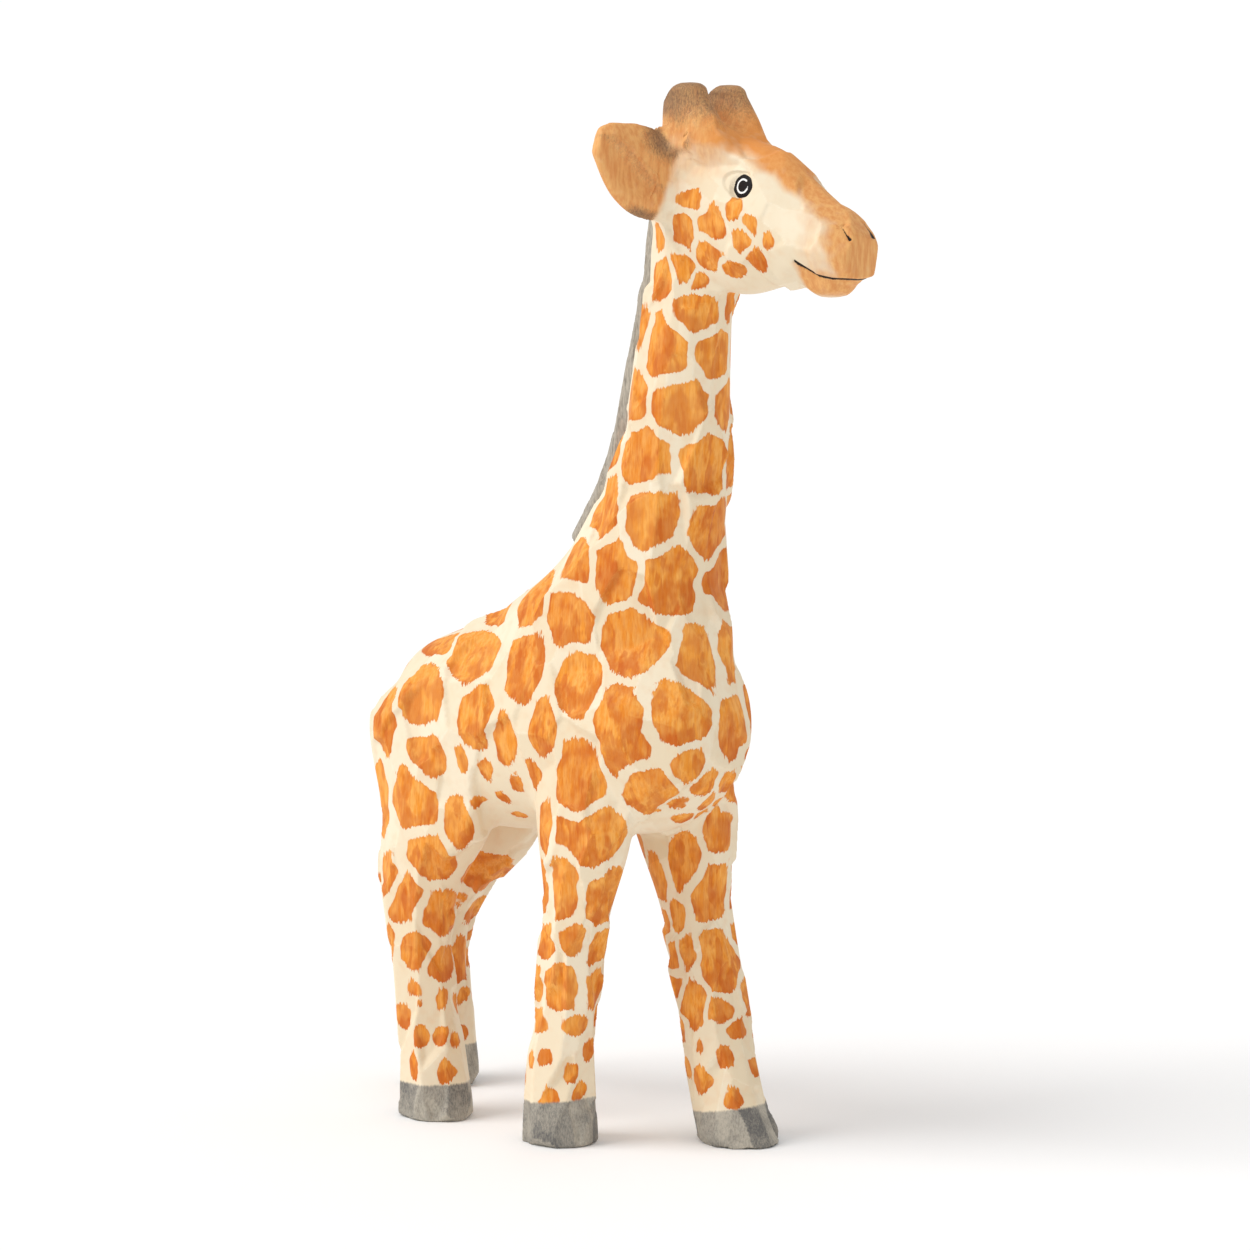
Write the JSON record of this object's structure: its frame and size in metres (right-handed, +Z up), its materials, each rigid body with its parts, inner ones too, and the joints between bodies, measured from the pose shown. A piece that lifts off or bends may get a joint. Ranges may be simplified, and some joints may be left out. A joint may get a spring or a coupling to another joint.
{
  "type": "carved giraffe statue",
  "caption": "Small standing giraffe carved in wood and painted with orange patches on cream, with grey hooves, blunt horns, leaf-shaped ears and a thin crest down the neck.",
  "frame": {"origin": "middle of the overall bounding box, on the floor plane under the hooves", "axes": "+X towards the nose, +Y to the giraffe's left, +Z up"},
  "size_m": [0.1294, 0.046, 0.2094],
  "materials": {
    "painted_wood": "matt cream paint with brushed orange patches",
    "tan_painted_wood": "matt tan paint shaded brown",
    "grey_painted_wood": "matt warm grey paint",
    "bare_wood": "bare sanded wood"
  },
  "bodies": {
    "root": {"trunk": "painted_wood", "neck": "painted_wood", "head": "painted_wood", "leg_front_right": "painted_wood", "leg_front_left": "painted_wood", "leg_hind_right": "painted_wood", "leg_hind_left": "painted_wood", "ear_right": "tan_painted_wood", "ear_left": "tan_painted_wood", "horn_right": "tan_painted_wood", "horn_left": "tan_painted_wood", "mane": "grey_painted_wood", "tail": "grey_painted_wood", "dowel_neck_base": "bare_wood", "dowel_head": "bare_wood", "dowel_leg_front_right": "bare_wood", "dowel_leg_front_left": "bare_wood", "dowel_leg_hind_right": "bare_wood", "dowel_leg_hind_left": "bare_wood"}
  },
  "joints": []
}
